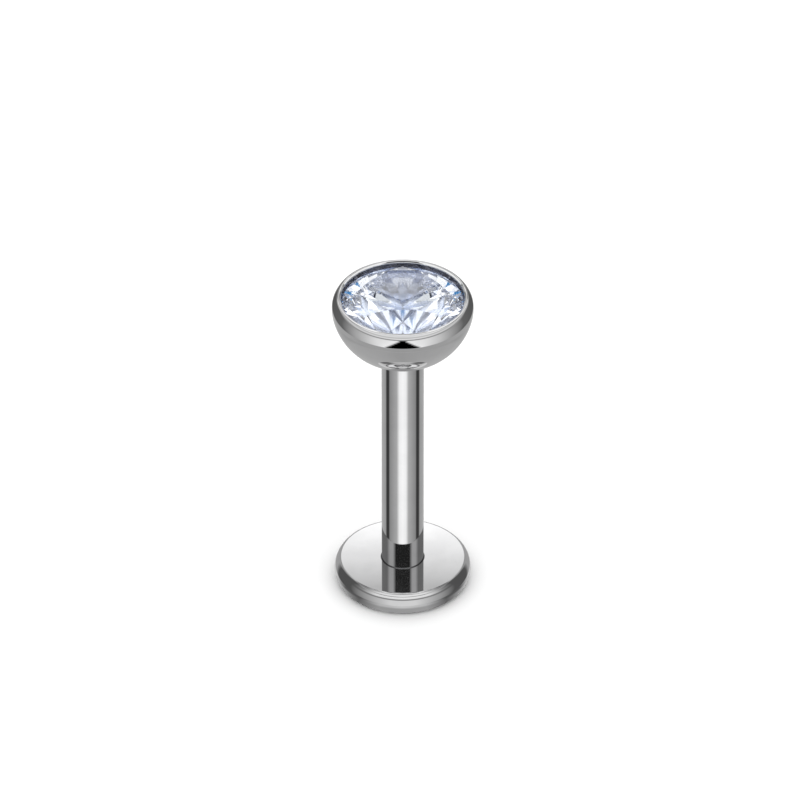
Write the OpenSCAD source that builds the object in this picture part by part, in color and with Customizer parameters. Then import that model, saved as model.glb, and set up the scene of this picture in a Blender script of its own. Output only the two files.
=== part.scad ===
// Labret stud with a flat back and a push-in ball end that holds one round brilliant.
// It stands on its flat disc: +Z runs up the post, and the origin is the centre of the
// disc's underside. All sizes are in millimetres.

/* [Base disc] */
// Diameter of the disc at the middle of its bulged edge
disc_d = 3.9; // [3:0.1:6]
// Thickness of the disc
disc_t = 0.7; // [0.6:0.05:1]
// How far the edge bulges out past the flat faces
disc_bulge = 0.16; // [0.08:0.02:0.28]

/* [Post] */
// Outside diameter of the post, 16 gauge
post_d = 1.2; // [1:0.1:1.6]
// Length of the post between the disc and the ball
post_l = 7.05; // [5:0.05:12]
// How much deeper the bore is than the pin
bore_spare = 0.5; // [0.1:0.1:0.6]
// Width of the flat land that is left around the countersunk mouth
mouth_land = 0.12; // [0.08:0.01:0.15]
// Radius of the fillet where the post meets the disc
foot_fillet = 0.03; // [0.03:0.01:0.15]
// Radius that breaks the outside edge of the post's mouth
rim_round = 0.03; // [0.01:0.01:0.05]

/* [Push pin] */
// Diameter of the smooth pin under the ball
pin_d = 0.52; // [0.4:0.02:0.56]
// Length of the pin below the ball, with its round end
pin_l = 4.2; // [3:0.1:4.4]
// Clearance between the pin and the bore, on the radius
pin_gap = 0.04; // [0.02:0.01:0.06]
// Radius of the solder fillet at the top of the pin
root_fillet = 0.06; // [0.02:0.01:0.08]

/* [Ball] */
// Largest diameter of the ball
cup_d = 4; // [3.4:0.1:5]
// Share of the ball's radius that the arc of its shoulder takes, below the widest line
shoulder_share = 0.59; // [0.54:0.01:0.64]
// Share of the ball's radius that the flatter arc of its belly takes
belly_share = 0.9; // [0.88:0.01:0.92]
// How far round from the widest line the shoulder runs before the belly, in degrees
belly_angle = 14; // [12:1:16]
// Thickness of the ball's wall beside the stone's girdle
cup_wall = 0.205; // [0.18:0.005:0.3]
// Height of the crest of the lip above the widest line
lip_rise = 0.37; // [0.35:0.005:0.38]
// Radius of the lip's outside, from the widest line up to its crest
lip_radius = 0.54; // [0.52:0.01:0.6]
// Radius that rounds the crest of the lip
lip_round = 0.07; // [0.05:0.01:0.08]
// Slope of the narrow bevel from the crest in to the stone, in degrees
lip_bevel = 35; // [30:1:40]
// Radius that breaks the inside edge of the lip
lip_edge = 0.04; // [0.02:0.005:0.05]
// How far the lip reaches in over the stone's girdle
lip_overhang = 0.03; // [0.01:0.01:0.04]
// How far the girdle lies below the top of the lip
girdle_drop = 0.27; // [0.26:0.01:0.3]
// Clearance between the ball's underside and the post's mouth
seat_gap = 0.02; // [0.01:0.01:0.05]

/* [Stone] */
// Corner to corner size of the eight-sided table
table_d = 2.1; // [1.8:0.05:2.3]
// Slope of the eight kite facets, in degrees
crown_slope = 34.6; // [32:0.2:36]
// Thickness of the girdle
girdle_t = 0.1; // [0.08:0.01:0.12]
// Slope of the eight pavilion mains, in degrees
pavilion_slope = 40.7; // [39:0.1:41.5]
// Size of the small culet facet
culet_d = 0.06; // [0.04:0.01:0.1]
// Share of the crown's slope that the star facets take
star_share = 0.5; // [0.4:0.05:0.6]
// Share of the pavilion's slope that the lower girdle facets take
lower_share = 0.75; // [0.65:0.05:0.8]
// Clearance between the stone and the metal around it
stone_gap = 0.02; // [0.01:0.005:0.03]

/* [Hidden] */

$fn = 96;
METAL = "#c6c8cb";
GEM = "#cddcf5";

// The eight main facets share the full turn, and each girdle facet is straight
// between this many points of the round girdle.
MAINS = 8;
FACET_POINTS = 4;
EDGE_POINTS = 2 * MAINS * FACET_POINTS;
main_step = 360 / MAINS;
half_step = main_step / 2;
// Straight parts that each small round of the lip is made of
ARC_PARTS = 6;

disc_r = disc_d / 2;
flat_r = disc_r - disc_bulge;
// The edge is one arc through both flat faces and the widest point.
edge_r = (disc_t * disc_t / 4 + disc_bulge * disc_bulge) / (2 * disc_bulge);

post_r = post_d / 2;
post_top = disc_t + post_l;
pin_r = pin_d / 2;
bore_r = pin_r + pin_gap;
mouth_r = post_r - mouth_land;
mouth_depth = mouth_r - bore_r;
bore_depth = pin_l + bore_spare;

cup_r = cup_d / 2;
// The shoulder's arc and the belly's arc share one tangent where they meet. The belly's
// arc ends level, on the small flat that is left at the very bottom.
shoulder_r = shoulder_share * cup_r;
belly_r = belly_share * cup_r;
cup_flat_r = max(0, cup_r - shoulder_r - (belly_r - shoulder_r) * cos(belly_angle));
shoulder_h = shoulder_r * sin(belly_angle);
cup_depth = shoulder_h + belly_r * (1 - sin(belly_angle));
// The curved underside beds a little way into the mouth, down to its clearance.
cup_bottom = post_top + seat_gap - belly_rise(mouth_r);
cup_equator = cup_bottom + cup_depth;
lip_top = cup_equator + lip_rise;
// The crest's round is tangent to the lip's outside, and the bevel to both its rounds.
crest_angle = asin((lip_rise - lip_round) / (lip_radius - lip_round));
crest_r = cup_r - lip_radius + (lip_radius - lip_round) * cos(crest_angle);
bevel_turn = 90 + lip_bevel;

// The stone fills the ball up to its wall and a clearance.
stone_r = cup_r - cup_wall - stone_gap;
opening_r = stone_r - lip_overhang;
table_r = table_d / 2;
table_flat_r = table_r * cos(half_step);
culet_r = culet_d / 2;
crown_h = (stone_r - table_r) * tan(crown_slope);
pavilion_h = (stone_r - culet_r) * tan(pavilion_slope);
girdle_top = lip_top - girdle_drop;
girdle_bottom = girdle_top - girdle_t;
culet_z = girdle_bottom - pavilion_h;
table_z = girdle_top + crown_h;

// The tip of a star facet lies in the planes of both kite facets beside it.
star_r = table_flat_r + star_share * (stone_r - table_flat_r);
star_z = girdle_top + (stone_r - star_r * cos(half_step)) * tan(crown_slope);
// So does the tip where two lower girdle facets end on the pavilion mains.
lower_r = (1 - lower_share) * stone_r;
lower_z = girdle_bottom
    - (stone_r - lower_r * cos(half_step)) * tan(pavilion_slope);

// Overshoot of a cut past the face that it opens
CUT = 0.01;

// How far the belly's arc has risen at a radius, above the very bottom
function belly_rise(radius) =
    belly_r - sqrt(pow(belly_r, 2) - pow(max(0, radius - cup_flat_r), 2));

// A point at a distance from a centre, at an angle above the level
function beside(centre, distance, angle) =
    centre + distance * [cos(angle), sin(angle)];

// Points of a small arc, from one angle to another
function arc_points(centre, radius, first, last) =
    [for (part = [0 : ARC_PARTS])
        beside(centre, radius, first + (last - first) * part / ARC_PARTS)];

// A point at a radius, an angle around the axis and a height
function around(radius, angle, height) =
    [radius * cos(angle), radius * sin(angle), height];

// Concave corner fillet in the first quadrant, with its legs on the axes
module corner_fillet(radius) {
    difference() {
        square(radius);
        translate([radius, radius]) circle(r = radius);
    }
}

// Half section of the disc: two flat faces joined by a bulged edge
module disc_section() {
    square([flat_r, disc_t]);
    intersection() {
        translate([disc_r - edge_r, disc_t / 2]) circle(r = edge_r);
        translate([flat_r, 0]) square([disc_bulge, disc_t]);
    }
}

// Half section of the post, with its foot fillet and broken mouth edge
module post_section() {
    translate([0, disc_t - CUT]) square([post_r, post_l - rim_round + CUT]);
    translate([0, post_top - rim_round - CUT])
        square([post_r - rim_round, rim_round + CUT]);
    translate([post_r - rim_round, post_top - rim_round]) circle(r = rim_round);
    translate([post_r, disc_t]) corner_fillet(foot_fillet);
}

// Half section of the blind bore and its countersunk mouth
module bore_section() {
    translate([0, post_top - bore_depth]) square([bore_r, bore_depth + CUT]);
    polygon([
        [0, post_top - mouth_depth],
        [bore_r, post_top - mouth_depth],
        [mouth_r, post_top],
        [mouth_r, post_top + CUT],
        [0, post_top + CUT]
    ]);
}

// Flat disc and hollow post, one turned piece
module flat_back_post() {
    color(METAL)
    rotate_extrude()
    difference() {
        union() {
            disc_section();
            post_section();
        }
        bore_section();
    }
}

// Half section of the ball's outside below its widest line: shoulder, belly, small flat
module ball_section() {
    belly_h = cup_depth - shoulder_h;
    intersection() {
        translate([cup_r - shoulder_r, cup_equator]) circle(r = shoulder_r);
        translate([0, cup_equator - shoulder_h]) square([cup_r, shoulder_h]);
    }
    intersection() {
        translate([cup_flat_r, cup_bottom + belly_r]) circle(r = belly_r);
        translate([0, cup_bottom]) square([cup_r, belly_h]);
    }
    translate([0, cup_bottom]) square([cup_flat_r, belly_h]);
}

// Half section of the lip: its round outside, its crest, and the bevel in to the stone
module lip_section() {
    outside = [cup_r - lip_radius, cup_equator];
    crest = [crest_r, lip_top - lip_round];
    bevel_start = beside(crest, lip_round, bevel_turn);
    bevel_end_r = opening_r + lip_edge + lip_edge * cos(bevel_turn);
    bevel_drop = (bevel_start.x - bevel_end_r) * tan(lip_bevel);
    edge = beside([bevel_end_r, bevel_start.y - bevel_drop], -lip_edge, bevel_turn);
    polygon(concat(
        [[0, cup_equator - CUT], [cup_r - CUT, cup_equator - CUT]],
        arc_points(crest, lip_round, crest_angle, bevel_turn),
        arc_points(edge, lip_edge, bevel_turn, 180),
        [[0, edge.y]]
    ));
    intersection() {
        translate(outside) circle(r = lip_radius);
        translate(outside)
            polygon([[0, 0], [cup_r, 0], [cup_r, cup_r * tan(crest_angle)]]);
    }
}

// Half section of the stone's seat: a cone to the culet, a groove for the girdle
// and the opening that the lip leaves above it
module seat_section() {
    polygon([
        [0, culet_z - stone_gap],
        [culet_r + stone_gap, culet_z - stone_gap],
        [lower_r + stone_gap, lower_z - stone_gap],
        [stone_r + stone_gap, girdle_bottom - stone_gap],
        [stone_r + stone_gap, girdle_top + stone_gap],
        [opening_r, girdle_top + lip_overhang + 2 * stone_gap],
        [opening_r, lip_top + CUT],
        [0, lip_top + CUT]
    ]);
}

// Half section of the push pin, from inside the ball down to its round end
module pin_section() {
    pin_end = cup_bottom - pin_l;
    root_z = cup_bottom + belly_rise(pin_r + root_fillet);
    translate([0, pin_end + pin_r]) square([pin_r, root_z - pin_end - pin_r + CUT]);
    intersection() {
        translate([0, pin_end + pin_r]) circle(r = pin_r);
        translate([0, pin_end]) square([pin_r, pin_r]);
    }
    translate([pin_r, root_z]) mirror([0, 1]) corner_fillet(root_fillet);
}

// Half ball that holds the stone, with its push pin soldered under it
module bezel_cup() {
    color(METAL)
    rotate_extrude()
    union() {
        difference() {
            union() {
                ball_section();
                lip_section();
            }
            seat_section();
        }
        pin_section();
    }
}

// Height at which the plane through three points passes over a place
function plane_height(a, b, c, place) =
    let (normal = cross(b - a, c - a))
    a.z + (normal.x * (a.x - place.x) + normal.y * (a.y - place.y)) / normal.z;

// Evenly turned points at one height
function ring(radius, first_angle, height) =
    [for (eighth = [0 : MAINS - 1])
        around(radius, first_angle + eighth * main_step, height)];

// Edge of the round girdle, scalloped where the girdle facets of one side cut it.
// Each of these facets holds the tip and two points of the edge, half a step apart.
function girdle_edge(tip_r, tip_z, level) =
    let (
        tip = around(tip_r, half_step, tip_z),
        start = around(stone_r, 0, level),
        finish = around(stone_r, half_step, level)
    )
    [for (count = [0 : EDGE_POINTS - 1])
        let (
            past = count % (2 * FACET_POINTS),
            turn = min(past, 2 * FACET_POINTS - past) * half_step / FACET_POINTS,
            place = around(stone_r, turn, level)
        )
        around(
            stone_r,
            half_step + count * half_step / FACET_POINTS,
            plane_height(tip, start, finish, place)
        )];

// Round brilliant: a table with eight kites, eight stars and sixteen girdle facets
// above the girdle, and sixteen girdle facets, eight mains and a culet below it
module stone() {
    points = concat(
        ring(table_r, half_step, table_z),
        ring(star_r, main_step, star_z),
        girdle_edge(star_r, star_z, girdle_top),
        girdle_edge(lower_r, lower_z, girdle_bottom),
        ring(lower_r, main_step, lower_z),
        ring(culet_r / cos(half_step), main_step, culet_z)
    );
    // Places of each ring's points in that list
    corner = [for (i = [0 : MAINS]) i % MAINS];
    star = [for (i = [0 : MAINS]) MAINS + i % MAINS];
    upper = [for (i = [0 : EDGE_POINTS]) 2 * MAINS + i % EDGE_POINTS];
    under = [for (i = [0 : EDGE_POINTS]) 2 * MAINS + EDGE_POINTS + i % EDGE_POINTS];
    lower = [for (i = [0 : MAINS]) 2 * MAINS + 2 * EDGE_POINTS + i % MAINS];
    culet = [for (i = [0 : MAINS]) 3 * MAINS + 2 * EDGE_POINTS + i % MAINS];
    table_facet = [for (i = [MAINS - 1 : -1 : 0]) corner[i]];
    culet_facet = [for (i = [0 : MAINS - 1]) culet[i]];
    kites = [for (i = [1 : MAINS])
        [corner[i], star[i], upper[2 * FACET_POINTS * i], star[i - 1]]];
    stars = [for (i = [0 : MAINS - 1]) [corner[i], corner[i + 1], star[i]]];
    mains = [for (i = [1 : MAINS])
        [under[2 * FACET_POINTS * i], lower[i], culet[i], culet[i - 1], lower[i - 1]]];
    upper_facets = [for (side = [0 : 2 * MAINS - 1])
        concat(
            [star[floor(side / 2)]],
            [for (i = [FACET_POINTS : -1 : 0]) upper[side * FACET_POINTS + i]]
        )];
    lower_facets = [for (side = [0 : 2 * MAINS - 1])
        concat(
            [for (i = [0 : FACET_POINTS]) under[side * FACET_POINTS + i]],
            [lower[floor(side / 2)]]
        )];
    girdle = [for (i = [0 : EDGE_POINTS - 1])
        [upper[i], upper[i + 1], under[i + 1], under[i]]];
    color(GEM)
    polyhedron(
        points = points,
        faces = concat(
            [table_facet, culet_facet],
            kites, stars, upper_facets, girdle, lower_facets, mains
        ),
        convexity = 2
    );
}

flat_back_post();
bezel_cup();
stone();
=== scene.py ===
"""Looks of a flat back labret stud whose push-in end holds one round stone.

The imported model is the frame. The disc stands on the floor at the origin, +Z runs up the
post, and all lengths are in metres.
"""

import math
from collections import namedtuple

import bpy
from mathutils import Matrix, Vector


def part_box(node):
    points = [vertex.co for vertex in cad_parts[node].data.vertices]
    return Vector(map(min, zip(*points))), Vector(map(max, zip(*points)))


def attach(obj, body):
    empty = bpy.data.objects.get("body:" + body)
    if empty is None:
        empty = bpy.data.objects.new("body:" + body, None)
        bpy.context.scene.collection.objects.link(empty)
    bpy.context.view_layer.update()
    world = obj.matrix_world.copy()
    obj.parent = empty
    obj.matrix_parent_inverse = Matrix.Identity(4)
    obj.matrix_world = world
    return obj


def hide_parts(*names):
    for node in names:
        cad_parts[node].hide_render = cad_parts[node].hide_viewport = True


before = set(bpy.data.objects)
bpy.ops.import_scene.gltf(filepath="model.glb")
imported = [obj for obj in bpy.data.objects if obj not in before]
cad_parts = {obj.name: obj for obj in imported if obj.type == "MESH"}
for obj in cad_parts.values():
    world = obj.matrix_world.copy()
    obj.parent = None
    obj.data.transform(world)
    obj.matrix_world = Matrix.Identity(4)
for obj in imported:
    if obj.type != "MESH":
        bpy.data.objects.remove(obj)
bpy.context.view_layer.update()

bl_info = {
    "name": "Labret Stud",
    "version": (1, 0, 0),
    "blender": (4, 5, 0),
    "location": "View3D > Sidebar > Stud",
    "description": "Makes the post, the stone end and the stage of a flat back labret stud",
    "category": "Add Mesh",
}

# One millimetre
MM = 0.001

# Steps of the turned meshes: round the axis, and degrees for each step of an arc
TURN_STEPS = 288
ARC_STEP = 3.0

base_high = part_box("flat_back_post")[1]
end_low, end_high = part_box("bezel_cup")
stone_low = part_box("stone")[0]


def length(name, description, default):
    """A size that a user may change, shown in the scene's own length unit"""
    return bpy.props.FloatProperty(
        name=name, description=description, default=default, min=0.0,
        unit="LENGTH", precision=6, step=0.001,
    )


def angle(name, description, default):
    """An angle, given in degrees"""
    return bpy.props.FloatProperty(
        name=name, description=description, default=math.radians(default), subtype="ANGLE",
    )


def share(name, description, default, largest=1.0):
    """A plain number, such as a roughness"""
    return bpy.props.FloatProperty(
        name=name, description=description, default=default, min=0.0, max=largest,
        precision=3,
    )


def colour(name, description, default):
    """A linear colour with its picker"""
    return bpy.props.FloatVectorProperty(
        name=name, description=description, default=default, size=3, min=0.0, max=1.0,
        subtype="COLOR",
    )


class PostSizes(bpy.types.PropertyGroup):
    """Sizes of the disc and the hollow post"""

    disc_radius: length("Disc radius", "Radius at the middle of the bulged edge", base_high.x)
    disc_thickness: length("Disc thickness", "Between the two flat faces", 0.7 * MM)
    edge_bulge: length("Edge bulge", "How far the edge stands out past the flats", 0.16 * MM)
    edge_break: length("Edge break", "Radius where a flat rolls into the edge", 0.08 * MM)
    post_radius: length("Post radius", "Outside radius of the post", 0.6 * MM)
    post_top: length("Post top", "Height of the post's mouth", base_high.z)
    foot_fillet: length("Foot fillet", "Fillet between post and disc", 0.03 * MM)
    rim_round: length("Rim round", "Radius that breaks the rim of the mouth", 0.03 * MM)
    mouth_radius: length("Mouth radius", "Outer radius of the countersink", 0.48 * MM)
    bore_radius: length("Bore radius", "Radius of the blind bore", 0.3 * MM)
    bore_depth: length("Bore depth", "Depth of the bore below the mouth", 4.7 * MM)


class EndSizes(bpy.types.PropertyGroup):
    """Sizes of the ball end, its lip, its seat and its push pin"""

    ball_radius: length("Ball radius", "Largest radius of the ball", end_high.x)
    shoulder_radius: length("Shoulder radius", "Arc just under the widest line", 1.18 * MM)
    belly_radius: length("Belly radius", "Arc of the underside", 1.8 * MM)
    belly_angle: angle("Belly angle", "From the widest line down to the belly's arc", 14.0)
    lip_top: length("Lip top", "Height of the crest of the lip", end_high.z)
    lip_rise: length("Lip rise", "Height of the lip above the widest line", 0.37 * MM)
    lip_radius: length("Lip radius", "Arc of the lip's outside", 0.54 * MM)
    lip_round: length("Lip round", "Radius that rounds the crest", 0.07 * MM)
    lip_bevel: angle("Lip bevel", "Slope from the crest in to the stone", 35.0)
    lip_edge: length("Lip edge", "Radius that breaks the inside of the lip", 0.04 * MM)
    opening_radius: length("Opening radius", "Radius inside the lip", 1.745 * MM)
    seam_reach: length("Seam reach", "How far the lip leans in over the stone", 0.04 * MM)
    groove_radius: length("Groove radius", "Radius of the groove for the girdle", 1.795 * MM)
    groove_drop: length("Groove drop", "From the lip's crest to the groove", 0.2 * MM)
    groove_height: length("Groove height", "Height of the groove", 0.14 * MM)
    pin_radius: length("Pin radius", "Radius of the push pin", 0.26 * MM)
    pin_end: length("Pin end", "Height of the pin's round tip", end_low.z)
    root_fillet: length("Root fillet", "Solder fillet at the top of the pin", 0.06 * MM)
    seat_gap: length("Seat gap", "Gap between the stone and its seat", 0.02 * MM)


class StoneSizes(bpy.types.PropertyGroup):
    """Size of the round brilliant that its seat follows"""

    culet_level: length("Culet height", "Height of the culet facet", stone_low.z)


class Finish(bpy.types.PropertyGroup):
    """Colours and polish"""

    metal: colour("Metal", "Polished metal", (0.78, 0.78, 0.785))
    metal_shade: colour("Metal shade", "Darker cloud in the metal", (0.745, 0.745, 0.75))
    bore: colour("Bore", "Metal inside the bore", (0.5, 0.49, 0.48))
    # Painted shade: this dark tint on the foot fillet stands in for the shade in the crease where
    # the post meets the disc.
    solder: colour("Solder", "Thin line where the post meets the disc", (0.18, 0.18, 0.185))
    # Painted shade: the cool cast stands in for the cool shade that the seat lies in under the
    # stone.
    seat: colour("Seat", "Metal under the stone, with its cool cast", (0.8, 0.84, 0.94))
    # Painted shade: this dark tint stands in for the shade in the narrow gap between the lip and
    # the stone.
    seam: colour("Seam", "Dark metal between the lip and the stone", (0.14, 0.14, 0.16))
    stone: colour("Stone", "Body colour of the stone", (1.0, 1.0, 1.0))
    stone_zone: colour("Stone zone", "Cooler zones in the stone", (0.985, 0.99, 1.0))
    polish: share("Polish", "Roughness of the mirror finish", 0.02)
    haze: share("Haze", "Extra roughness in the hazy spots", 0.008)
    stone_index: share("Refraction", "Index of refraction of the stone", 2.15, 3.0)


class Stage(bpy.types.PropertyGroup):
    """Camera and floor"""

    camera_height: angle("Camera elevation", "Angle of the view above the floor", 35.6)
    camera_distance: length("Camera distance", "From the camera to its target", 300.0 * MM)
    target_height: length("Target height", "Height that the camera looks at", 6.2 * MM)
    target_shift: bpy.props.FloatProperty(
        name="Target shift", description="Sideways place that the camera looks at",
        default=-0.0765 * MM, unit="LENGTH", precision=6,
    )
    pixels_per_mm: share("Scale", "Pixels for each millimetre in an 800 pixel frame", 35.3, 500.0)
    floor_size: length("Floor size", "Side of the floor", 800.0 * MM)
    floor: colour("Floor", "Pale floor", (0.9, 0.9, 0.9))
    overhead: share("Overhead light", "Strength of the soft light from above", 2.5, 20.0)


# A stretch of a turned half section: its points and the outward normal at each of them
Stretch = namedtuple("Stretch", "points normals finish")

# Places of the metals on a piece. The mirror polish is first on both.
POLISHED = 0
# The second of these is painted shade in the crease where the post meets the disc.
BORED, PAINTED_FOOT_SHADE = 1, 2
# The second of these gives the groove and the seat a painted cool shade.
# The third of these is painted shade in the gap between the lip and the stone.
PIN_METAL, PAINTED_SEAT_SHADE, PAINTED_SEAM_SHADE = 1, 2, 3


def line(start, end, finish=POLISHED):
    """Straight stretch, with the metal on the left of the way from start to end"""
    run = Vector((end[0] - start[0], end[1] - start[1])).normalized()
    normal = (run.y, -run.x)
    return Stretch([start, end], [normal, normal], finish)


def arc(centre, radius, first, last, hollow=False, finish=POLISHED):
    """Round stretch between two angles in degrees. A hollow one faces its own centre."""
    steps = max(4, math.ceil(abs(last - first) / ARC_STEP))
    angles = [math.radians(first + (last - first) * i / steps) for i in range(steps + 1)]
    turns = [(math.cos(a), math.sin(a)) for a in angles]
    points = [(centre[0] + radius * c, centre[1] + radius * s) for c, s in turns]
    facing = -1 if hollow else 1
    return Stretch(points, [(c * facing, s * facing) for c, s in turns], finish)


def turned_mesh(name, stretches):
    """Turns a half section round +Z. Each corner keeps the section's own normal."""
    places, rings, faces, normals, finishes = [], {}, [], [], []
    angles = [2 * math.pi * i / TURN_STEPS for i in range(TURN_STEPS)]
    turns = [(math.cos(a), math.sin(a)) for a in angles]

    def ring_of(point):
        key = (round(point[0] / MM, 6), round(point[1] / MM, 6))
        if key not in rings:
            first = len(places)
            if key[0] == 0:
                places.append((0.0, 0.0, point[1]))
                rings[key] = [first] * TURN_STEPS
            else:
                places.extend((point[0] * c, point[0] * s, point[1]) for c, s in turns)
                rings[key] = list(range(first, first + TURN_STEPS))
        return rings[key]

    def turned(normal, turn):
        return (normal[0] * turn[0], normal[0] * turn[1], normal[1])

    for stretch in stretches:
        corners = list(zip(stretch.points, stretch.normals))
        for (start, start_normal), (end, end_normal) in zip(corners, corners[1:]):
            low, high = ring_of(start), ring_of(end)
            run = (end[0] - start[0], end[1] - start[1])
            metal_on_left = run[1] * start_normal[0] - run[0] * start_normal[1] > 0
            for i in range(TURN_STEPS):
                j = (i + 1) % TURN_STEPS
                loop = [
                    (low[i], turned(start_normal, turns[i])),
                    (low[j], turned(start_normal, turns[j])),
                    (high[j], turned(end_normal, turns[j])),
                    (high[i], turned(end_normal, turns[i])),
                ]
                if low[i] == low[j]:
                    del loop[1]
                if high[i] == high[j]:
                    del loop[2]
                if not metal_on_left:
                    loop.reverse()
                faces.append([corner for corner, _ in loop])
                normals.extend(normal for _, normal in loop)
                finishes.append(stretch.finish)

    mesh = bpy.data.meshes.new(name)
    mesh.from_pydata(places, [], faces)
    mesh.polygons.foreach_set("use_smooth", [True] * len(faces))
    mesh.polygons.foreach_set("material_index", finishes)
    mesh.normals_split_custom_set(normals)
    mesh.update()
    return mesh


def new_object(name, data):
    """Object with this data, linked to the scene"""
    item = bpy.data.objects.new(name, data)
    bpy.context.scene.collection.objects.link(item)
    return item


def add_piece(name, mesh, materials, body, node):
    """Puts a finished mesh in the scene in place of its node"""
    piece = new_object(name, mesh)
    for material in materials:
        mesh.materials.append(material)
    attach(piece, body)
    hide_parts(node)


class Graph:
    """Short hand for a node tree"""

    def __init__(self, tree):
        self.tree = tree
        tree.nodes.clear()

    def add(self, kind, inputs=(), **settings):
        """Adds a node. Inputs is a row of (socket, value or output socket)."""
        node = self.tree.nodes.new(kind)
        for key, value in settings.items():
            setattr(node, key, value)
        for socket, value in inputs:
            if isinstance(value, bpy.types.NodeSocket):
                self.tree.links.new(value, node.inputs[socket])
            else:
                node.inputs[socket].default_value = value
        return node

    def math(self, operation, *values):
        """Result of a Math node"""
        node = self.add("ShaderNodeMath", enumerate(values), operation=operation)
        return node.outputs[0]

    def span(self, value, low, high, to_low=0.0, to_high=1.0, smooth=False):
        """A value carried over from one range to another, held at its ends"""
        kind = "SMOOTHSTEP" if smooth else "LINEAR"
        rows = [("Value", value), ("From Min", low), ("From Max", high)]
        rows += [("To Min", to_low), ("To Max", to_high)]
        return self.add("ShaderNodeMapRange", rows, interpolation_type=kind).outputs[0]

    def mix(self, factor, first, second):
        """Blend of two numbers"""
        rows = [(0, factor), (2, first), (3, second)]
        return self.add("ShaderNodeMix", rows, data_type="FLOAT").outputs[0]

    def mix_colour(self, factor, first, second):
        """Blend of two colours"""
        rows = [(0, factor), (6, first), (7, second)]
        return self.add("ShaderNodeMix", rows, data_type="RGBA").outputs[2]

    def noise(self, vector, scale, detail=2.0, roughness=0.5):
        """Noise from 0 to 1"""
        rows = [("Vector", vector), ("Scale", scale), ("Detail", detail)]
        rows += [("Roughness", roughness)]
        return self.add("ShaderNodeTexNoise", rows).outputs[0]

    def parts(self, vector):
        """The three parts of a vector"""
        return self.add("ShaderNodeSeparateXYZ", [(0, vector)]).outputs

    def radius(self, parts):
        """Distance from the stud's axis"""
        across = self.math("POWER", parts[0], 2.0)
        along = self.math("POWER", parts[1], 2.0)
        return self.math("SQRT", self.math("ADD", across, along))

    def grey(self, level):
        """Colour with this level in all of its parts"""
        rows = [(0, level), (1, level), (2, level)]
        return self.add("ShaderNodeCombineXYZ", rows).outputs[0]


def surface_graph(name):
    """A new material, its graph, its shader and the place on it in millimetres"""
    material = bpy.data.materials.new(name)
    material.use_nodes = True
    graph = Graph(material.node_tree)
    shader = graph.add("ShaderNodeBsdfPrincipled")
    output = graph.add("ShaderNodeOutputMaterial")
    material.node_tree.links.new(shader.outputs[0], output.inputs["Surface"])
    place = graph.add("ShaderNodeTexCoord").outputs["Object"]
    scaled = graph.add(
        "ShaderNodeVectorMath", [(0, place), ("Scale", 1.0 / MM)], operation="SCALE",
    )
    return material, graph, shader, scaled.outputs[0]


def lathe_marks(graph, place, marks_per_mm):
    """Fine rings that a lathe leaves: they follow the radius and the height alone"""
    parts = graph.parts(place)
    section = graph.add("ShaderNodeCombineXYZ", [(0, graph.radius(parts)), (1, parts[2])])
    return graph.noise(section.outputs[0], marks_per_mm, detail=3.0, roughness=0.6)


# Spots of each kind of mark for each millimetre
CLOUD_SCALE = 1.3
HAZE_SCALE = 5.0
WEAR_SCALE = 6.0
ZONE_SCALE = 1.1
SMEAR_SCALE = 9.0
POLISH_MARKS = 40.0

# Depth of the lathe marks under the mirror polish
POLISH_DEPTH = 0.00001 * MM

# Two sets of hairlines: the angles that each lies at, and how thin it is
HAIRLINE_SETS = [((0.4, 0.2, 0.9), 26.0), ((1.1, 2.0, 0.3), 31.0)]


def hairlines(graph, place, turn, fineness):
    """A few long thin scratches at one angle, 1 on a scratch and 0 beside it"""
    stretched = graph.add(
        "ShaderNodeMapping",
        [("Vector", place), ("Rotation", turn), ("Scale", (0.6, fineness, fineness))],
    )
    waves = graph.noise(stretched.outputs[0], 1.0, detail=1.0)
    return graph.span(waves, 0.74, 0.78)


def bump(graph, height, depth):
    """Normal of a fine relief, with its depth in metres"""
    rows = [("Strength", 1.0), ("Distance", depth), ("Height", height)]
    return graph.add("ShaderNodeBump", rows).outputs[0]


def polished_metal(name, finish):
    """Mirror polish with a cloudy tone, hazy spots, hairlines and faint lathe marks"""
    material, graph, shader, place = surface_graph(name)
    cloud = graph.noise(place, CLOUD_SCALE, detail=3.0)
    tone = graph.span(cloud, 0.35, 0.65, smooth=True)
    metal = graph.mix_colour(tone, (*finish.metal_shade, 1.0), (*finish.metal, 1.0))
    haze = graph.span(graph.noise(place, HAZE_SCALE, detail=4.0), 0.45, 0.75)
    sets = [hairlines(graph, place, turn, fineness) for turn, fineness in HAIRLINE_SETS]
    scratches = graph.math("MAXIMUM", *sets)
    dulling = graph.math("MULTIPLY_ADD", scratches, 0.5, haze)
    roughness = graph.math("MULTIPLY_ADD", dulling, finish.haze, finish.polish)
    relief = lathe_marks(graph, place, POLISH_MARKS)
    shader.inputs["Metallic"].default_value = 1.0
    links = graph.tree.links
    links.new(metal, shader.inputs["Base Color"])
    links.new(roughness, shader.inputs["Roughness"])
    links.new(bump(graph, relief, POLISH_DEPTH), shader.inputs["Normal"])
    return material


def cut_metal(name, tint, marks_per_mm, roughness, depth):
    """Metal as a tool left it, with rings that show, inside the bore and the seat. Where the seat,
    the foot fillet and the gap by the stone use it, its tint is painted shade.
    """
    material, graph, shader, place = surface_graph(name)
    marks = lathe_marks(graph, place, marks_per_mm)
    shade = tuple(0.8 * part for part in tint)
    metal = graph.mix_colour(marks, (*shade, 1.0), (*tint, 1.0))
    wear = graph.noise(place, WEAR_SCALE)
    worn = graph.span(wear, 0.3, 0.7, roughness * 0.8, roughness * 1.3)
    shader.inputs["Metallic"].default_value = 1.0
    links = graph.tree.links
    links.new(metal, shader.inputs["Base Color"])
    links.new(worn, shader.inputs["Roughness"])
    links.new(bump(graph, marks, depth), shader.inputs["Normal"])
    return material


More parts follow.
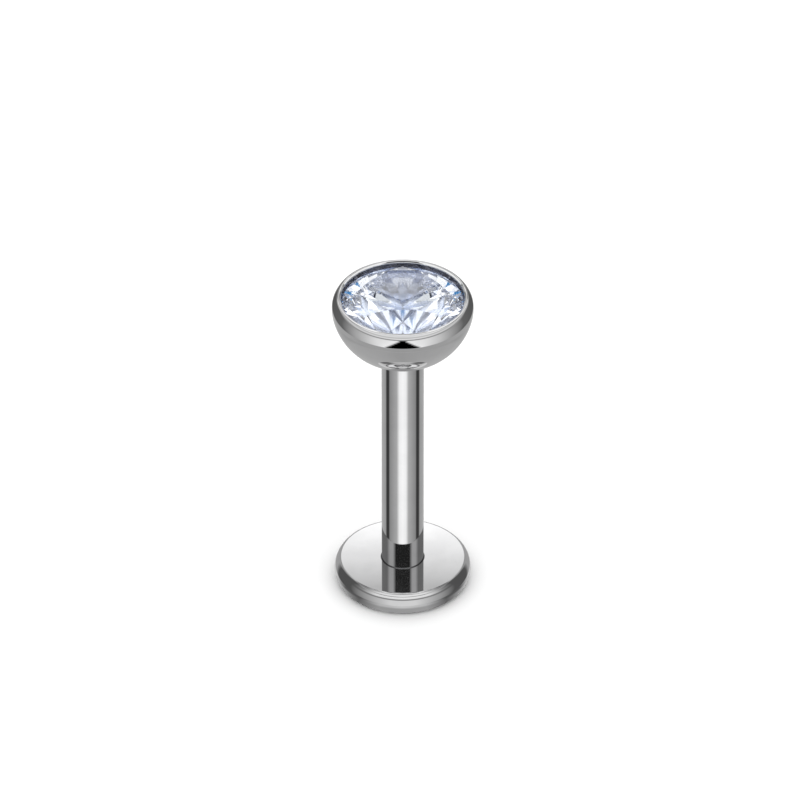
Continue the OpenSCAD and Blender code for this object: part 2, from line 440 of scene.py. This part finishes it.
def cut_stone(name, finish):
    """Clear cut stone with cooler zones and polish that varies a little"""
    material, graph, shader, place = surface_graph(name)
    zones = graph.span(graph.noise(place, ZONE_SCALE, detail=2.0), 0.4, 0.6, smooth=True)
    body = graph.mix_colour(zones, (*finish.stone, 1.0), (*finish.stone_zone, 1.0))
    polish = graph.span(graph.noise(place, SMEAR_SCALE), 0.6, 0.8, 0.0, 0.01)
    shader.inputs["IOR"].default_value = finish.stone_index
    shader.inputs["Transmission Weight"].default_value = 1.0
    links = graph.tree.links
    links.new(body, shader.inputs["Base Color"])
    links.new(polish, shader.inputs["Roughness"])
    return material


def disc_edge(sizes, upper):
    """One half of the disc's bulged edge, from a flat to the widest line or back"""
    half = sizes.disc_thickness / 2
    bulge = sizes.edge_bulge
    radius = (half * half + bulge * bulge) / (2 * bulge)
    centre = sizes.disc_radius - radius
    inner = radius - sizes.edge_break
    drop = half - sizes.edge_break
    break_centre = centre + math.sqrt(inner * inner - drop * drop)
    tilt = math.degrees(math.asin(drop / inner))
    way = 1 if upper else -1
    rolled = (break_centre, half + way * drop)
    if upper:
        return [
            arc((centre, half), radius, 0, tilt),
            arc(rolled, sizes.edge_break, tilt, 90),
        ], break_centre
    return [
        arc(rolled, sizes.edge_break, -90, -tilt),
        arc((centre, half), radius, -tilt, 0),
    ], break_centre


class STUD_OT_post(bpy.types.Operator):
    """Make the flat disc and the hollow post"""

    bl_idname = "stud.make_post"
    bl_label = "Disc and Post"

    def execute(self, context):
        sizes = context.scene.stud_post
        finish = context.scene.stud_finish
        top = sizes.post_top
        floor_level = sizes.disc_thickness
        fillet = sizes.foot_fillet
        post = sizes.post_radius
        rim = sizes.rim_round
        mouth = sizes.mouth_radius
        bore = sizes.bore_radius
        throat = top - (mouth - bore)
        bottom = top - sizes.bore_depth
        lower_edge, flat = disc_edge(sizes, upper=False)
        upper_edge, flat = disc_edge(sizes, upper=True)
        section = [
            line((0, 0), (flat, 0)),
            *lower_edge,
            *upper_edge,
            line((flat, floor_level), (post + fillet, floor_level)),
            # Painted shade: the foot fillet takes a dark finish that stands in for the shade in
            # the crease.
            arc(
                (post + fillet, floor_level + fillet), fillet, -90, -180,
                hollow=True, finish=PAINTED_FOOT_SHADE,
            ),
            line((post, floor_level + fillet), (post, top - rim)),
            arc((post - rim, top - rim), rim, 0, 90),
            line((post - rim, top), (mouth, top)),
            line((mouth, top), (bore, throat), finish=BORED),
            line((bore, throat), (bore, bottom), finish=BORED),
            line((bore, bottom), (0, bottom), finish=BORED),
        ]
        metals = [
            polished_metal("post polish", finish),
            cut_metal("bored metal", finish.bore, 22.0, 0.3, 0.001 * MM),
            # Dark tint: painted shade in the crease at the post's foot
            cut_metal("solder", finish.solder, 30.0, 0.2, 0.0004 * MM),
        ]
        mesh = turned_mesh("flat_back_post_mesh", section)
        add_piece("turned_post", mesh, metals, "base", "flat_back_post")
        return {"FINISHED"}


class STUD_OT_end(bpy.types.Operator):
    """Make the ball end with its lip, seat and push pin"""

    bl_idname = "stud.make_end"
    bl_label = "Ball End and Pin"

    def execute(self, context):
        sizes = context.scene.stud_end
        stone = context.scene.stud_stone
        finish = context.scene.stud_finish
        widest = sizes.lip_top - sizes.lip_rise
        pin = sizes.pin_radius
        root = pin + sizes.root_fillet
        turn = math.degrees(sizes.belly_angle)
        growth = sizes.belly_radius - sizes.shoulder_radius
        shoulder = (sizes.ball_radius - sizes.shoulder_radius, widest)
        belly = (
            shoulder[0] - growth * math.cos(sizes.belly_angle),
            widest + growth * math.sin(sizes.belly_angle),
        )
        start = math.degrees(math.asin((root - belly[0]) / sizes.belly_radius)) - 90
        underside = arc(belly, sizes.belly_radius, start, -turn)
        under = underside.points[0][1]
        outside = (sizes.ball_radius - sizes.lip_radius, widest)
        reach = sizes.lip_radius - sizes.lip_round
        crest_angle = math.asin((sizes.lip_rise - sizes.lip_round) / reach)
        crest_centre = (
            outside[0] + reach * math.cos(crest_angle), sizes.lip_top - sizes.lip_round,
        )
        bevel_turn = 90 + math.degrees(sizes.lip_bevel)
        crest = arc(crest_centre, sizes.lip_round, math.degrees(crest_angle), bevel_turn)
        bevel_start = crest.points[-1]
        bevel_sin = math.sin(sizes.lip_bevel)
        bevel_cos = math.cos(sizes.lip_bevel)
        bevel_end_radius = sizes.opening_radius + sizes.lip_edge * (1 - bevel_sin)
        bevel_drop = (bevel_start[0] - bevel_end_radius) * math.tan(sizes.lip_bevel)
        bevel_end = (bevel_end_radius, bevel_start[1] - bevel_drop)
        edge_centre = (
            sizes.opening_radius + sizes.lip_edge, bevel_end[1] - sizes.lip_edge * bevel_cos,
        )
        groove_top = sizes.lip_top - sizes.groove_drop
        chamfer = sizes.groove_radius - sizes.opening_radius
        groove_mouth = (sizes.opening_radius, groove_top)
        groove_upper = (sizes.groove_radius, groove_top - chamfer)
        groove_lower = (sizes.groove_radius, groove_top - sizes.groove_height - chamfer)
        seam_foot = (sizes.opening_radius - sizes.seam_reach, groove_top + sizes.seat_gap)
        seat = stone.culet_level - sizes.seat_gap
        section = [
            arc((0, sizes.pin_end + pin), pin, -90, 0, finish=PIN_METAL),
            line(
                (pin, sizes.pin_end + pin), (pin, under - sizes.root_fillet), finish=PIN_METAL,
            ),
            arc(
                (root, under - sizes.root_fillet), sizes.root_fillet, 180, 90,
                hollow=True, finish=PIN_METAL,
            ),
            underside,
            arc(shoulder, sizes.shoulder_radius, -turn, 0),
            arc(outside, sizes.lip_radius, 0, math.degrees(crest_angle)),
            crest,
            line(bevel_start, bevel_end),
            arc(edge_centre, sizes.lip_edge, bevel_turn, 180),
            # Painted shade: the ledge under the lip takes a dark finish that stands in for the
            # shade between the lip and the stone.
            line((sizes.opening_radius, edge_centre[1]), seam_foot, finish=PAINTED_SEAM_SHADE),
            line(seam_foot, groove_mouth, finish=PAINTED_SEAM_SHADE),
            # Painted shade: the groove and the seat take a cool cast that stands in for the shade
            # under the stone.
            line(groove_mouth, groove_upper, finish=PAINTED_SEAT_SHADE),
            line(groove_upper, groove_lower, finish=PAINTED_SEAT_SHADE),
            line(groove_lower, (0, seat), finish=PAINTED_SEAT_SHADE),
        ]
        metals = [
            polished_metal("ball polish", finish),
            cut_metal("pin metal", finish.metal, 30.0, 0.12, 0.0002 * MM),
            # Cool tint: painted shade under the stone. The lathe rings are the metal's own.
            cut_metal("painted seat shade", finish.seat, 25.0, 0.16, 0.0004 * MM),
            # Dark tint: painted shade between the lip and the stone
            cut_metal("painted seam shade", finish.seam, 40.0, 0.1, 0.0004 * MM),
        ]
        mesh = turned_mesh("bezel_cup_mesh", section)
        add_piece("stone_cup", mesh, metals, "top", "bezel_cup")
        return {"FINISHED"}


class STUD_OT_stone(bpy.types.Operator):
    """Give the cut stone its clear material"""

    bl_idname = "stud.make_stone"
    bl_label = "Round Stone"

    def execute(self, context):
        finish = context.scene.stud_finish
        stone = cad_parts["stone"]
        stone.data.materials.clear()
        stone.data.materials.append(cut_stone("clear stone", finish))
        return {"FINISHED"}


# A ring of light round the stud, from one level up to the next ring. Its stops run round
# from behind, over the left, the front and the right: (azimuth, brightness).
LightRing = namedtuple("LightRing", "level blur stops")

# Brightest value that a ring's ramp holds
RAMP_TOP = 2.0


def both_sides(*stops):
    """Stops of a whole ring from those of one side, which run from the front to behind"""
    return [(-azimuth, glow) for azimuth, glow in reversed(stops)] + list(stops)


# Soft light in front with dark flags beside it and a pale wall behind
SOFT_FRONT = both_sides(
    (0, 1.0), (45, 0.9), (70, 0.3), (90, 0.1), (125, 0.1), (135, 0.4), (180, 0.4),
)

# Rings of the far studio, with their levels as elevations in degrees
STUDIO_RINGS = [
    LightRing(-90, 1, both_sides((0, 0.4), (180, 0.5))),
    LightRing(-48, 6, both_sides((0, 0.6), (60, 0.4), (120, 0.4), (180, 0.5))),
    LightRing(-40, 2, both_sides(
        (0, 1.2), (18, 1.1), (32, 0.5), (75, 0.3), (82, 0.05), (98, 0.05), (108, 0.4), (180, 0.55),
    )),
    LightRing(-31, 3, both_sides(
        (0, 0.8), (20, 0.8), (60, 0.4), (90, 0.1), (125, 0.1), (135, 0.4), (180, 0.4),
    )),
    LightRing(9, 3, both_sides(
        (0, 0.3), (45, 0.3), (90, 0.1), (125, 0.1), (135, 0.4), (180, 0.4),
    )),
    LightRing(19, 3, SOFT_FRONT),
    LightRing(34.4, 0.6, both_sides(
        (0, 0.02), (38, 0.02), (55, 0.5), (75, 0.5), (95, 0.2), (150, 0.2), (180, 0.45),
    )),
    LightRing(37, 0.6, SOFT_FRONT),
    LightRing(50, 3, both_sides((0, 0.45), (150, 0.5), (180, 0.8))),
    LightRing(61, 3, both_sides((0, 1.1), (65, 1.0), (115, 0.2), (150, 0.5), (180, 0.9))),
    LightRing(80, 4, both_sides((0, 1.15), (180, 1.15))),
]


# The dark wedge in front of the ball: its lowest ring and its height in millimetres, its half
# width there and how much of that it loses on the way up, in degrees, and its rings
WEDGE_LEVEL = 7.2
WEDGE_HEIGHT = 2.6
WEDGE_HALF_WIDTH = 20
WEDGE_NARROWING = 17
WEDGE_RINGS = 6

# Blur of the wedge's foot, blur between its other rings, and the soft edge of its sides
FOOT_BLUR = 0.06
RING_BLUR = 0.5
SOFT_EDGE = 4


def wedge_rings():
    """Soft light on both sides of a dark wedge in front, which narrows as it rises"""
    rings = []
    for i in range(WEDGE_RINGS):
        rise = i / (WEDGE_RINGS - 1)
        edge = WEDGE_HALF_WIDTH - WEDGE_NARROWING * rise
        stops = both_sides(
            (edge, 0.0), (edge + SOFT_EDGE, 1.1), (32, 0.9), (60, 0.5), (90, 0.15),
            (135, 0.1), (165, 0.6), (180, 0.8),
        )
        blur = RING_BLUR if i else FOOT_BLUR
        rings.append(LightRing(WEDGE_LEVEL + WEDGE_HEIGHT * rise, blur, stops))
    return rings


# Rings of the small tent round the ball, with their levels as heights in millimetres
TENT_RINGS = [
    LightRing(0, 0.1, both_sides((0, 0.4), (120, 0.45), (180, 0.8))),
    *wedge_rings(),
    LightRing(10.35, 0.3, both_sides((0, 0.3), (120, 0.4), (135, 0.12), (160, 0.12), (180, 0.9))),
    LightRing(10.75, 0.3, both_sides((0, 1.0), (110, 0.6), (135, 0.12), (160, 0.12), (180, 0.9))),
    LightRing(11.25, 0.3, both_sides((0, 0.6), (110, 0.6), (135, 0.15), (160, 0.15), (180, 0.8))),
    LightRing(11.7, 0.3, both_sides((0, 0.85), (60, 1.0), (150, 0.5), (180, 0.9))),
]

# What the stone shows through its facets. Tints are (red, green, blue) of each ring.
StoneRing = namedtuple("StoneRing", "level blur tint stops")
STONE_RINGS = [
    StoneRing(-90, 1, (0.8, 0.86, 1.0), both_sides((0, 0.7), (180, 0.7))),
    StoneRing(0, 8, (0.8, 0.86, 1.0), both_sides((0, 0.6), (180, 0.5))),
    StoneRing(20, 6, (0.92, 0.95, 1.0), both_sides((0, 1.7), (60, 1.7), (130, 0.4), (180, 0.3))),
    StoneRing(38, 6, (0.95, 0.97, 1.0), both_sides((0, 1.9), (60, 1.9), (140, 0.6), (180, 0.5))),
    StoneRing(55, 4, (0.9, 0.95, 1.0), both_sides(
        (0, 0.95), (48, 1.1), (57, 1.95), (87, 1.95), (140, 0.7), (180, 0.6),
    )),
    StoneRing(66, 6, (0.95, 0.97, 1.0), both_sides((0, 0.8), (60, 1.5), (180, 0.8))),
    StoneRing(76, 4, (0.88, 0.93, 1.0), both_sides((0, 0.7), (180, 0.7))),
]

# Coloured cards of the same sky: elevations and azimuths that each covers, and its colour
StonePanel = namedtuple("StonePanel", "low high first last colour")
BLUE = (0.06, 0.32, 0.72)
SLATE = (0.1, 0.14, 0.27)
# Slate cards on both sides: lowest and highest elevation, nearest and farthest azimuth
SLATE_CARDS = [(22, 30, 54, 70), (38, 45, 36, 44), (43, 50, 66, 76), (50, 58, 78, 86)]
STONE_PANELS = [StonePanel(18, 38, -18, 18, BLUE)]
STONE_PANELS += [StonePanel(low, high, near, far, SLATE) for low, high, near, far in SLATE_CARDS]
STONE_PANELS += [StonePanel(low, high, -far, -near, SLATE) for low, high, near, far in SLATE_CARDS]


def ring_ramp(graph, turn, stops):
    """Brightness round one ring of light, read from its stops"""
    node = graph.add("ShaderNodeValToRGB", [(0, turn)])
    elements = node.color_ramp.elements
    while len(elements) < len(stops):
        elements.new(0.5)
    for element, (azimuth, glow) in zip(elements, stops):
        element.position = (azimuth + 180) / 360
        level = glow / RAMP_TOP
        element.color = (level, level, level, 1.0)
    return graph.math("MULTIPLY", node.outputs[0], RAMP_TOP)


def turn_share(graph, parts):
    """Share of a full turn from behind, over the left, of a direction's parts"""
    behind = graph.math("MULTIPLY", parts[1], -1.0)
    azimuth = graph.math("DEGREES", graph.math("ARCTAN2", parts[0], behind))
    return graph.span(azimuth, -180.0, 180.0)


def stacked_rings(graph, turn, level, rings):
    """Brightness of rings of light that are stacked by their levels"""
    glow = 0.0
    for ring in rings:
        low = ring.level - ring.blur / 2
        above = graph.span(level, low, low + ring.blur, smooth=True)
        glow = graph.mix(above, glow, ring_ramp(graph, turn, ring.stops))
    return glow


def stone_light(graph, turn, level, rings):
    """Colour of the rings that the stone shows"""
    light = (0.0, 0.0, 0.0, 1.0)
    for ring in rings:
        low = ring.level - ring.blur / 2
        above = graph.span(level, low, low + ring.blur, smooth=True)
        grey = graph.grey(ring_ramp(graph, turn, ring.stops))
        tinted = graph.add(
            "ShaderNodeVectorMath", [(0, grey), (1, ring.tint)], operation="MULTIPLY",
        ).outputs[0]
        light = graph.mix_colour(above, light, tinted)
    return light


def add_panels(graph, turn, level, light, panels):
    """The sky of the stone with its panels laid over it"""
    edge = 0.6
    turn_edge = edge / 360

    def between(value, low, high, soft):
        past_low = graph.span(value, low - soft, low + soft)
        past_high = graph.span(value, high - soft, high + soft)
        return graph.math("SUBTRACT", past_low, past_high)

    for panel in panels:
        first = (panel.first + 180) / 360
        last = (panel.last + 180) / 360
        within = graph.math(
            "MULTIPLY",
            between(level, panel.low, panel.high, edge),
            between(turn, first, last, turn_edge),
        )
        light = graph.mix_colour(within, light, (*panel.colour, 1.0))
    return light


def light_world(scene):
    """Rings of soft light all round, and plain white where the camera looks past all"""
    world = bpy.data.worlds.new("studio")
    world.use_nodes = True
    scene.world = world
    graph = Graph(world.node_tree)
    direction = graph.add("ShaderNodeTexCoord").outputs["Generated"]
    parts = graph.parts(direction)
    elevation = graph.math("DEGREES", graph.math("ARCSINE", parts[2]))
    turn = turn_share(graph, parts)
    metal_light = graph.grey(stacked_rings(graph, turn, elevation, STUDIO_RINGS))
    gem_light = stone_light(graph, turn, elevation, STONE_RINGS)
    gem_light = add_panels(graph, turn, elevation, gem_light, STONE_PANELS)
    path = graph.add("ShaderNodeLightPath")
    light = graph.mix_colour(path.outputs["Is Transmission Ray"], metal_light, gem_light)
    white = (1.0, 1.0, 1.0, 1.0)
    light = graph.mix_colour(path.outputs["Is Camera Ray"], light, white)
    background = graph.add("ShaderNodeBackground", [("Color", light), ("Strength", 1.0)])
    output = graph.add("ShaderNodeOutputWorld")
    graph.tree.links.new(background.outputs[0], output.inputs["Surface"])


def add_card(name, corners, faces, material):
    """A card of the stage that only reflections see"""
    mesh = bpy.data.meshes.new(name)
    mesh.from_pydata(corners, [], faces)
    mesh.materials.append(material)
    card = new_object(name, mesh)
    card.visible_camera = False
    card.visible_diffuse = False
    card.visible_shadow = False
    card.visible_transmission = False


# Outline of the dark arch over the far side of the ball: (across, back) in millimetres
ARCH_OUTER = [(0.0, 3.2), (0.6, 3.6), (1.2, 4.3), (2.2, 5.0)]
ARCH_INNER = [(0.0, 2.5), (0.7, 2.9), (1.5, 3.5), (2.7, 4.1)]
# Outlines of the dark flag nearer to the middle and of the bright sheet above both
FLAG = [(-1.5, -1.0), (1.5, -1.0), (0.5, 1.1), (-0.5, 1.1)]
SHEET = [(-3.4, -2.2), (3.4, -2.2), (3.4, 4.8), (-3.4, 4.8)]


# Height of the arch and the flag over the lip, and of the sheet over them
CARD_RISE = 2.84 * MM
SHEET_RISE = 0.16 * MM

# Brightness of each of the three
ARCH_GLOW = 0.1
FLAG_GLOW = 0.06
SHEET_GLOW = 1.15

# The one face of a card with four corners
ONE_FACE = [(0, 1, 2, 3)]


def card_light(name, strength_of):
    """Material of a card. What strength_of makes of its graph is how strong it glows."""
    material = bpy.data.materials.new(name)
    material.use_nodes = True
    graph = Graph(material.node_tree)
    light = graph.add("ShaderNodeEmission", [("Strength", strength_of(graph))])
    output = graph.add("ShaderNodeOutputMaterial")
    graph.tree.links.new(light.outputs[0], output.inputs["Surface"])
    return material


def plain_light(glow):
    """Even light of a card"""
    return card_light("plain card", lambda graph: glow)


def place_parts(graph):
    """The three parts of the place on a card, in metres"""
    return graph.parts(graph.add("ShaderNodeTexCoord").outputs["Object"])


def add_lip_cards(end):
    """Dark arch and flag under a bright sheet over the ball, which its lip shows"""
    level = end.lip_top + CARD_RISE
    outer = [(-x, y) for x, y in reversed(ARCH_OUTER)] + ARCH_OUTER[1:]
    inner = [(-x, y) for x, y in reversed(ARCH_INNER)] + ARCH_INNER[1:]
    corners = [(x * MM, y * MM, level) for x, y in outer + inner]
    count = len(outer)
    faces = [(i, i + 1, count + i + 1, count + i) for i in range(count - 1)]
    add_card("lip_arch", corners, faces, plain_light(ARCH_GLOW))
    corners = [(x * MM, y * MM, level) for x, y in FLAG]
    add_card("lip_flag", corners, ONE_FACE, plain_light(FLAG_GLOW))
    above = level + SHEET_RISE
    corners = [(x * MM, y * MM, above) for x, y in SHEET]
    add_card("lip_sheet", corners, ONE_FACE, plain_light(SHEET_GLOW))


def tent_cloth(graph):
    """Strength of the small tent, with its rings of light by height"""
    parts = place_parts(graph)
    height = graph.math("DIVIDE", parts[2], MM)
    return stacked_rings(graph, turn_share(graph, parts), height, TENT_RINGS)


def pale_floor(stage):
    """Matt white floor"""
    material = bpy.data.materials.new("pale floor")
    material.use_nodes = True
    graph = Graph(material.node_tree)
    shader = graph.add("ShaderNodeBsdfPrincipled")
    shader.inputs["Base Color"].default_value = (*stage.floor, 1.0)
    shader.inputs["Roughness"].default_value = 1.0
    shader.inputs["Specular IOR Level"].default_value = 0.0
    output = graph.add("ShaderNodeOutputMaterial")
    graph.tree.links.new(shader.outputs[0], output.inputs["Surface"])
    return material


# How widely the light from above spreads
OVERHEAD_SPREAD = math.radians(140)

# How far the floor lies under the disc
FLOOR_DROP = 0.002 * MM


def add_overhead(stage):
    """One very soft light from above, for the floor and its contact shadow"""
    data = bpy.data.lights.new("overhead", "SUN")
    data.energy = stage.overhead
    data.angle = OVERHEAD_SPREAD
    light = new_object("overhead", data)
    light.visible_glossy = False
    light.visible_transmission = False


def add_floor(stage):
    """Floor just under the disc. Reflections see the rings of light instead of it."""
    half = stage.floor_size / 2
    flat = [(-half, -half), (half, -half), (half, half), (-half, half)]
    mesh = bpy.data.meshes.new("floor")
    mesh.from_pydata([(x, y, -FLOOR_DROP) for x, y in flat], [], ONE_FACE)
    mesh.materials.append(pale_floor(stage))
    floor = new_object("floor", mesh)
    floor.visible_glossy = False
    floor.visible_transmission = False


# Sides of the round cards
CARD_SIDES = 96

# The small tent: its radius, and how far it reaches below and above the ball's widest line
TENT_RADIUS = 5.0 * MM
TENT_BELOW = 3.5 * MM
TENT_ABOVE = 3.2 * MM


def circle(radius, level):
    """Corners of a level circle round the stud's axis"""
    turns = [2 * math.pi * i / CARD_SIDES for i in range(CARD_SIDES)]
    return [(radius * math.cos(a), radius * math.sin(a), level) for a in turns]


def add_tent(end):
    """Small round tent close round the ball, which is what its lip shows"""
    widest = end.lip_top - end.lip_rise
    low = circle(TENT_RADIUS, widest - TENT_BELOW)
    high = circle(TENT_RADIUS, widest + TENT_ABOVE)
    faces = []
    for i in range(CARD_SIDES):
        j = (i + 1) % CARD_SIDES
        faces.append((i, j, CARD_SIDES + j, CARD_SIDES + i))
    add_card("ball_tent", low + high, faces, card_light("tent cloth", tent_cloth))


# Rings of the cloth round the disc's foot, with their levels as radii in millimetres
FOOT_RINGS = [
    LightRing(0, 0.1, both_sides(
        (0, 0.4), (25, 0.4), (50, 0.15), (65, 0.3), (90, 0.6), (180, 0.6),
    )),
    LightRing(2.4, 0.4, both_sides(
        (0, 0.7), (25, 0.6), (50, 0.12), (75, 0.12), (100, 0.7), (180, 0.8),
    )),
]

# Radius of that cloth, and how far it lies under the disc
FOOT_RADIUS = 3.05 * MM
FOOT_DROP = 0.3 * MM


def foot_cloth(graph):
    """Strength of the cloth under the disc, with its rings of light by radius"""
    parts = place_parts(graph)
    radius = graph.math("DIVIDE", graph.radius(parts), MM)
    return stacked_rings(graph, turn_share(graph, parts), radius, FOOT_RINGS)


def add_foot_cloth():
    """Round cloth just under the disc, which is what the lower half of its edge shows"""
    corners = circle(FOOT_RADIUS, -FOOT_DROP)
    light = card_light("foot cloth", foot_cloth)
    add_card("foot_cloth", corners, [tuple(range(CARD_SIDES))], light)


# The card behind the stud: how far away and how wide it is, how much it reaches past the
# disc's mirror image, and how bright it is low down and high up
DISC_CARD_AWAY = 12.0 * MM
DISC_CARD_HALF_WIDTH = 2.7 * MM
DISC_CARD_MARGIN = 0.3 * MM
DISC_CARD_LOW_GLOW = 1.5
DISC_CARD_HIGH_GLOW = 0.6


def add_disc_card(post, stage):
    """Fading card behind the stud, whose mirror image is the grading of the flat disc"""
    away = DISC_CARD_AWAY
    reach = DISC_CARD_HALF_WIDTH
    slope = math.tan(stage.camera_height)
    low = post.disc_thickness + slope * (away - post.disc_radius)
    high = post.disc_thickness + slope * (away + post.disc_radius)
    corners = [
        (-reach, away, low - DISC_CARD_MARGIN), (reach, away, low - DISC_CARD_MARGIN),
        (reach, away, high + DISC_CARD_MARGIN), (-reach, away, high + DISC_CARD_MARGIN),
    ]

    def fading(graph):
        height = place_parts(graph)[2]
        return graph.span(height, low, high, DISC_CARD_LOW_GLOW, DISC_CARD_HIGH_GLOW)

    add_card("disc_card", corners, ONE_FACE, card_light("fading card", fading))


# The frame's width in pixels, the camera's sensor in millimetres, and how near and how far
# it sees as a share of its distance
FRAME_PIXELS = 800.0
SENSOR_WIDTH = 36.0
CLIP_NEAR = 0.1
CLIP_FAR = 20


def add_camera(stage):
    """Long lens on the stud at the photograph's angle"""
    data = bpy.data.cameras.new("camera")
    camera = new_object("camera", data)
    frame_width = FRAME_PIXELS / stage.pixels_per_mm * MM
    data.sensor_width = SENSOR_WIDTH
    data.lens = data.sensor_width * stage.camera_distance / frame_width
    data.clip_start = stage.camera_distance * CLIP_NEAR
    data.clip_end = stage.camera_distance * CLIP_FAR
    target = Vector((stage.target_shift, 0.0, stage.target_height))
    rise = math.sin(stage.camera_height)
    reach = math.cos(stage.camera_height)
    camera.location = target + Vector((0.0, -reach, rise)) * stage.camera_distance
    camera.rotation_euler = (math.pi / 2 - stage.camera_height, 0.0, 0.0)
    bpy.context.scene.camera = camera


# How often light may bounce between the facets and the metal
BOUNCES = 80


class STUD_OT_stage(bpy.types.Operator):
    """Set the floor, the light, the cards and the camera"""

    bl_idname = "stud.set_stage"
    bl_label = "Stage"

    def execute(self, context):
        scene = context.scene
        light_world(scene)
        add_floor(scene.stud_stage)
        add_overhead(scene.stud_stage)
        add_tent(scene.stud_end)
        add_lip_cards(scene.stud_end)
        add_foot_cloth()
        add_disc_card(scene.stud_post, scene.stud_stage)
        add_camera(scene.stud_stage)
        scene.view_settings.view_transform = "Standard"
        scene.cycles.max_bounces = BOUNCES
        scene.cycles.glossy_bounces = BOUNCES
        scene.cycles.transmission_bounces = BOUNCES
        scene.cycles.caustics_reflective = False
        return {"FINISHED"}


class STUD_PT_panel(bpy.types.Panel):
    """Panel with the stud's sizes, finish and parts"""

    bl_idname = "STUD_PT_panel"
    bl_label = "Labret Stud"
    bl_space_type = "VIEW_3D"
    bl_region_type = "UI"
    bl_category = "Stud"

    def draw(self, context):
        for group, operator in PANEL_ROWS:
            box = self.layout.box()
            settings = getattr(context.scene, group)
            for name in settings.__annotations__:
                box.prop(settings, name)
            if operator:
                box.operator(operator)


# What the panel lists: each group of settings and the operator that uses it
PANEL_ROWS = [
    ("stud_finish", None),
    ("stud_post", "stud.make_post"),
    ("stud_end", "stud.make_end"),
    ("stud_stone", "stud.make_stone"),
    ("stud_stage", "stud.set_stage"),
]

# Where each group of settings is kept on the scene
SETTINGS = {
    "stud_finish": Finish,
    "stud_post": PostSizes,
    "stud_end": EndSizes,
    "stud_stone": StoneSizes,
    "stud_stage": Stage,
}

CLASSES = [
    *SETTINGS.values(), STUD_OT_post, STUD_OT_end, STUD_OT_stone, STUD_OT_stage, STUD_PT_panel,
]


def register():
    for item in CLASSES:
        bpy.utils.register_class(item)
    for name, group in SETTINGS.items():
        setattr(bpy.types.Scene, name, bpy.props.PointerProperty(type=group))


def unregister():
    for name in SETTINGS:
        delattr(bpy.types.Scene, name)
    for item in reversed(CLASSES):
        bpy.utils.unregister_class(item)


def main():
    register()
    bpy.ops.stud.make_post()
    bpy.ops.stud.make_end()
    bpy.ops.stud.make_stone()
    bpy.ops.stud.set_stage()


if __name__ == "__main__":
    main()
